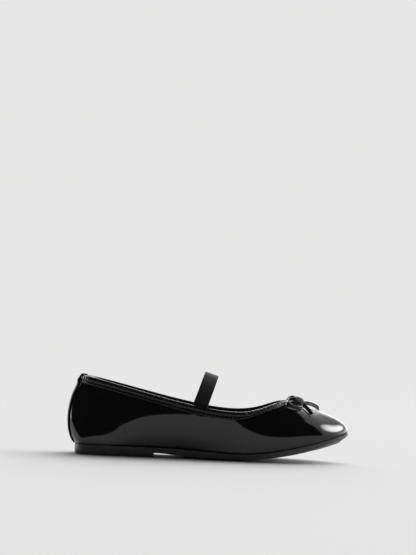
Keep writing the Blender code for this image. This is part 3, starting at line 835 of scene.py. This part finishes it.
# Along the tape: forward and out in shares of the half span, lift in shares of the rise.
BOW_LOOP = (
    (-0.11, 0.09, 0.58),
    (-0.30, 0.34, 1.00),
    (-0.50, 0.61, 0.92),
    (-0.57, 0.86, 0.66),
    (-0.40, 1.00, 0.48),
    (-0.13, 0.97, 0.42),
    (0.01, 0.76, 0.36),
    (0.03, 0.48, 0.37),
    (0.02, 0.18, 0.48),
)
OUTER_TAIL = ((0.04, 0.12, 0.50), (0.16, 0.38, 0.42), (0.30, 0.66, 0.38), (0.42, 0.92, 0.38))
INNER_TAIL = ((0.07, 0.09, 0.55), (0.29, 0.25, 0.78), (0.52, 0.38, 0.90), (0.74, 0.52, 0.82))
# A loop or tail's lean, 0 on edge and 1 flat, and the slant of its cut end.
LOOP_LEAN = 0.20
OUTER_TAIL_LEAN = 0.5
OUTER_TAIL_SLANT = 0.35
INNER_TAIL_LEAN = 0.0
INNER_TAIL_SLANT = -0.7
# The tape's cut: share of its half width, share of its half thickness. Its folded edges meet in a groove.
TAPE_CUT = (
    (-1.00, 0.00), (-0.95, 0.70), (-0.72, 1.02), (-0.38, 1.05),
    (-0.08, 1.00), (0.00, 0.78), (0.08, 1.00), (0.38, 1.05),
    (0.72, 1.02), (0.95, 0.70), (1.00, 0.00), (0.95, -0.70),
    (0.70, -1.00), (0.00, -0.96), (-0.70, -1.00), (-0.95, -0.70),
)
# The knot lies over the tape's crossing and hangs a little back and towards the outer side.
KNOT_SIZE = (0.0108, 0.0130, 0.0066)
KNOT_BACK = 0.0030
KNOT_OUTWARD = 0.0047
KNOT_GAP = 0.0003
KNOT_SQUARENESS = 0.86
KNOT_PINCH = 0.14
KNOT_PINCH_REACH = 0.35
# The folds run across this slant: their height, their number, where they start, how they bend, and the
# share of the height that lies on the pad's own surface.
KNOT_SLANT = (0.62, 0.78)
KNOT_FOLD = 0.00060
KNOT_FOLDS = 2.3
KNOT_FOLD_START = 0.18
KNOT_FOLD_BEND = 0.20
KNOT_FOLD_LEVEL = 0.75

vamp = BVHTree.FromPolygons([tuple(v.co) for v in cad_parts["upper"].data.vertices],
                            [tuple(p.vertices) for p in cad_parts["upper"].data.polygons])


def on_vamp(x, y):
    """Point and outward normal of the vamp under a place seen from above."""
    point, normal, _, _ = vamp.ray_cast(Vector((x, y, 1.0)), Vector((0.0, 0.0, -1.0)))
    if normal.z < 0.0:
        normal = -normal
    return np.array(point), np.array(normal)


def smooth_path(places, steps):
    """A curve through the given places, each stretch steered by its neighbours."""
    places = np.array(places)
    ends = np.vstack([2 * places[0] - places[1], places, 2 * places[-1] - places[-2]])
    path = []
    for i in range(len(places) - 1):
        before, start, end, after = ends[i:i + 4]
        for step in range(steps):
            path.append(between(before, start, end, after, step / steps))
    path.append(places[-1])
    return np.array(path)


def tape(name, table, side, lean, slant, both_ends_tied):
    """A run of the folded tape, on edge at lean 0, gathered where it enters the knot and cut at a slant."""
    places = []
    for forward, out, lift in table:
        point, normal = on_vamp(BOW_X + forward * BOW_HALF_SPAN, side * out * BOW_HALF_SPAN)
        places.append(point + normal * lift * BOW_RISE)
    path = smooth_path(places, STEPS_PER_PLACE)
    last = len(path) - 1
    walked = np.concatenate([[0.0], np.cumsum(np.linalg.norm(np.diff(path, axis=0), axis=1))])
    corners = []
    for i, centre in enumerate(path):
        run = unit(path[min(i + 1, last)] - path[max(i - 1, 0)])
        _, normal = on_vamp(centre[0], centre[1])
        level = unit(np.cross(normal, run))
        edge = normal * (1.0 - lean) - level * lean * side
        edge = unit(edge - run * (edge @ run))
        flat = np.cross(run, edge)
        tied = math.exp(-(walked[i] / TIED_REACH) ** 2)
        to_end = walked[-1] - walked[i]
        if both_ends_tied:
            tied = max(tied, math.exp(-(to_end / TIED_REACH) ** 2))
        width = TAPE_WIDTH / 2 * (1.0 - TIED_NARROWER * tied)
        swell = TAPE_THICKNESS / 2 * (1.0 + TIED_THICKER * tied)
        wander = TAPE_WANDER * math.sin(walked[i] * TAPE_WANDER_TURN + side)
        cut_slant = slant * width * max(0.0, 1.0 - to_end / TAIL_CUT_REACH)
        for across, through in TAPE_CUT:
            corners.append(centre + edge * (across * width) + flat * (through * swell + wander)
                           + run * cut_slant * across)
    piece = new_piece(name, corners, tube_faces(0, len(path), len(TAPE_CUT)))
    bpy.ops.object.shade_smooth_by_angle(angle=TAPE_SMOOTH_ANGLE)
    return piece


def knot(name):
    """The tied middle: a flat pad of tape with slanting folds and a pinch where the loops leave it."""
    point, normal = on_vamp(BOW_X - KNOT_BACK, -KNOT_OUTWARD)
    ahead = unit(np.cross(np.array((0.0, 1.0, 0.0)), normal))
    out = np.cross(normal, ahead)
    bpy.ops.mesh.primitive_uv_sphere_add(segments=72, ring_count=48, radius=1.0, location=(0.0, 0.0, 0.0))
    piece = bpy.context.object
    piece.name = name
    shape = corners_of(piece.data)
    squared = np.sign(shape) * np.abs(shape) ** KNOT_SQUARENESS
    slant = KNOT_SLANT[0] * shape[:, 0] + KNOT_SLANT[1] * shape[:, 1]
    folds = slant * KNOT_FOLDS + KNOT_FOLD_START + KNOT_FOLD_BEND * shape[:, 0] ** 2
    folds = np.abs(np.sin(math.pi * folds)) - KNOT_FOLD_LEVEL
    waist = 1.0 - KNOT_PINCH * np.exp(-(shape[:, 0] / KNOT_PINCH_REACH) ** 2) * np.abs(shape[:, 1]) ** 3
    top = np.clip(shape[:, 2] + 0.5, 0.0, 1.0)
    size = np.array(KNOT_SIZE) / 2
    local = squared * size * waist[:, None]
    local += unit(shape / size) * (folds * KNOT_FOLD * top)[:, None]
    middle = point + normal * (KNOT_SIZE[2] / 2 + KNOT_GAP)
    put_corners(piece.data, middle + local[:, :1] * ahead + local[:, 1:2] * out + local[:, 2:] * normal)
    bpy.ops.object.shade_smooth()
    return piece


bow_patent = patent_finish("bow_patent", BOW_WAVE_SIZE, BOW_WAVE_DEPTH, BOW_ROUGHNESS)
# The knot is matte cloth painted pale grey, a painted reflection of its creased patent's highlights.
knot_reflection_paint = cloth_finish("knot_painted_reflection", KNOT_PAINTED_REFLECTION)
bow_pieces = (
    (tape("bow_loop_outer", BOW_LOOP, -1, LOOP_LEAN, 0.0, True), bow_patent),
    (tape("bow_loop_inner", BOW_LOOP, 1, LOOP_LEAN, 0.0, True), bow_patent),
    (tape("bow_tail_outer", OUTER_TAIL, -1, OUTER_TAIL_LEAN, OUTER_TAIL_SLANT, False), bow_patent),
    (tape("bow_tail_inner", INNER_TAIL, 1, INNER_TAIL_LEAN, INNER_TAIL_SLANT, False), bow_patent),
    (knot("bow_knot"), knot_reflection_paint),
)
for bow_piece, bow_finish in bow_pieces:
    bow_piece.data.materials.append(bow_finish)
    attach(bow_piece, "root")
    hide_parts("bow")

# The floor is a sheet of pale, dull paper under the shoe.
# Its far part is as bright as the room, so that the one fades into the other.

PAPER_PALE = (0.80, 0.797, 0.795, 1.0)
PAPER_ROUGHNESS = 0.9
PAPER_GLOSS = 0.1
PAPER_RADIUS = 8.0
PAPER_FADE = (0.7, 2.2)

bpy.ops.mesh.primitive_circle_add(vertices=96, radius=PAPER_RADIUS, fill_type="NGON", location=(0, 0, 0))
floor = bpy.context.object
floor.name = "paper_floor"


def paper_finish(name):
    """Dull paper that turns, away from the middle, into an even glow of its own colour."""
    finish, tree, shader = new_finish(name, PAPER_PALE, PAPER_ROUGHNESS)
    shader.inputs["Specular IOR Level"].default_value = PAPER_GLOSS
    place = tree.nodes.new("ShaderNodeTexCoord")
    reach = tree.nodes.new("ShaderNodeVectorMath")
    reach.operation = "LENGTH"
    tree.links.new(place.outputs["Object"], reach.inputs[0])
    far_paper = tree.nodes.new("ShaderNodeEmission")
    far_paper.inputs["Color"].default_value = PAPER_PALE
    mix = tree.nodes.new("ShaderNodeMixShader")
    tree.links.new(stepped(tree, reach.outputs["Value"], PAPER_FADE), mix.inputs["Fac"])
    tree.links.new(shader.outputs["BSDF"], mix.inputs[1])
    tree.links.new(far_paper.outputs["Emission"], mix.inputs[2])
    tree.links.new(mix.outputs["Shader"], tree.nodes["Material Output"].inputs["Surface"])
    return finish


floor.data.materials.append(paper_finish("pale_paper"))

# The studio is a white dome, brightest behind the shoe and to its right, which lights the paper and the dull
# pieces. What the patent mirrors is a tall screen beyond the toe with a soft lamp on it and a brighter foot,
# a bright sweep behind, and darkness elsewhere. What shows behind the shoe is the pale room.

# Each edge is a direction towards its bright side. A blur says where along it the light starts and is full.
DOME_MIDDLE = (0.46, 0.82, 0.34)
DOME_BLUR = (0.30, 1.0)
DOME_FILL = 0.05
DOME_GLOW = 3.7
SCREEN_LEFT_EDGE = (0.45, 0.89, -0.05)
SCREEN_LEFT_BLUR = (-0.04, 0.05)
SCREEN_TOP_EDGE = (0.80, 0.38, -0.47)
SCREEN_TOP_BLUR = (-0.03, 0.03)
SCREEN_GLOW = 1.05
FOOT_EDGE = (0.17, 0.98, 0.0)
FOOT_EDGE_BLUR = (0.0, 0.3)
FOOT_UP = (0.0, 0.0, 1.0)
FOOT_UP_BLUR = (0.05, 0.45)
FOOT_GLOW = 1.8
SWEEP_TOP_EDGE = (0.0, 0.64, -0.77)
SWEEP_BLUR = (-0.12, 0.16)
SWEEP_GLOW = 2.1
DARK_GLOW = 0.03
# The lamp is an oval, its glow highest in the middle. Its blur is in squares of its half angles.
LAMP_MIDDLE = (0.826, 0.146, 0.545)
LAMP_WIDE = (-0.326, 0.929, 0.176)
LAMP_HALF_ANGLES = (0.25, 0.125)
LAMP_BLUR = (0.0, 3.4)
LAMP_GLOW = 15.0
WHITE = (1.0, 1.0, 1.0, 1.0)

room = bpy.data.worlds.new("pale_room")
bpy.context.scene.world = room
room.use_nodes = True
air = room.node_tree
way = air.nodes.new("ShaderNodeTexCoord").outputs["Generated"]


def lies_along(axis):
    """How far a direction in the room lies along an axis."""
    turn = air.nodes.new("ShaderNodeVectorMath")
    turn.operation = "DOT_PRODUCT"
    turn.inputs[1].default_value = axis
    air.links.new(way, turn.inputs[0])
    return turn.outputs["Value"]


screen = stepped(air, lies_along(SCREEN_TOP_EDGE), SCREEN_TOP_BLUR, 0.0, SCREEN_GLOW)
sweep = stepped(air, lies_along(SWEEP_TOP_EDGE), SWEEP_BLUR, 0.0, SWEEP_GLOW)
foot_side = stepped(air, lies_along(FOOT_EDGE), FOOT_EDGE_BLUR)
foot_height = stepped(air, lies_along(FOOT_UP), FOOT_UP_BLUR, FOOT_GLOW, 0.0)
foot = worked_out(air, "MULTIPLY", foot_side, foot_height)
lamp_up = Vector(LAMP_MIDDLE).cross(Vector(LAMP_WIDE))
off_lamp = 0.0
for lamp_axis, half_angle in zip((LAMP_WIDE, lamp_up), LAMP_HALF_ANGLES):
    off_axis = worked_out(air, "DIVIDE", lies_along(lamp_axis), half_angle)
    off_lamp = worked_out(air, "MULTIPLY_ADD", off_axis, off_axis, off_lamp)
lamp = stepped(air, off_lamp, LAMP_BLUR, LAMP_GLOW, 0.0)
walls = worked_out(air, "MAXIMUM", screen, sweep)
glow = worked_out(air, "ADD", worked_out(air, "ADD", lamp, foot), walls)
right_of_edge = stepped(air, lies_along(SCREEN_LEFT_EDGE), SCREEN_LEFT_BLUR)
mirrored_glow = worked_out(air, "MULTIPLY_ADD", right_of_edge, glow, DARK_GLOW)
dome_glow = stepped(air, lies_along(DOME_MIDDLE), DOME_BLUR, DOME_FILL, DOME_FILL + DOME_GLOW)

pale_view = air.nodes["Background"]
pale_view.inputs["Color"].default_value = PAPER_PALE
studio = air.nodes.new("ShaderNodeBackground")
dome = air.nodes.new("ShaderNodeBackground")
seen = air.nodes.new("ShaderNodeLightPath")
lit_or_mirrored = air.nodes.new("ShaderNodeMixShader")
viewed = air.nodes.new("ShaderNodeMixShader")
studio.inputs["Color"].default_value = WHITE
dome.inputs["Color"].default_value = WHITE
air.links.new(mirrored_glow, studio.inputs["Strength"])
air.links.new(dome_glow, dome.inputs["Strength"])
air.links.new(seen.outputs["Is Glossy Ray"], lit_or_mirrored.inputs["Fac"])
air.links.new(dome.outputs["Background"], lit_or_mirrored.inputs[1])
air.links.new(studio.outputs["Background"], lit_or_mirrored.inputs[2])
air.links.new(seen.outputs["Is Camera Ray"], viewed.inputs["Fac"])
air.links.new(lit_or_mirrored.outputs["Shader"], viewed.inputs[1])
air.links.new(pale_view.outputs["Background"], viewed.inputs[2])
air.links.new(viewed.outputs["Shader"], air.nodes["World Output"].inputs["Surface"])
bpy.context.scene.view_settings.view_transform = "Standard"

# The camera looks level along +Y from the shoe's outer side.
# It is rolled, because the ground falls a little from the heel to the toe in the picture.

CAMERA_SIDE = -0.00515
CAMERA_AWAY = 2.5
CAMERA_HEIGHT = 0.163
GROUND_FALL = math.atan(0.040)
FOCUS_IN_PIXELS = 2761
PICTURE_HEIGHT_IN_PIXELS = 555
SENSOR = 36.0
FARTHEST_SEEN = 50.0

camera_data = bpy.data.cameras.new("photo_camera")
camera = bpy.data.objects.new("photo_camera", camera_data)
bpy.context.collection.objects.link(camera)
camera_data.sensor_width = SENSOR
camera_data.lens = FOCUS_IN_PIXELS * SENSOR / PICTURE_HEIGHT_IN_PIXELS
camera_data.clip_end = FARTHEST_SEEN
camera.location = (CAMERA_SIDE, -CAMERA_AWAY, CAMERA_HEIGHT)
camera.rotation_euler = (math.pi / 2, -GROUND_FALL, 0.0)
bpy.context.scene.camera = camera
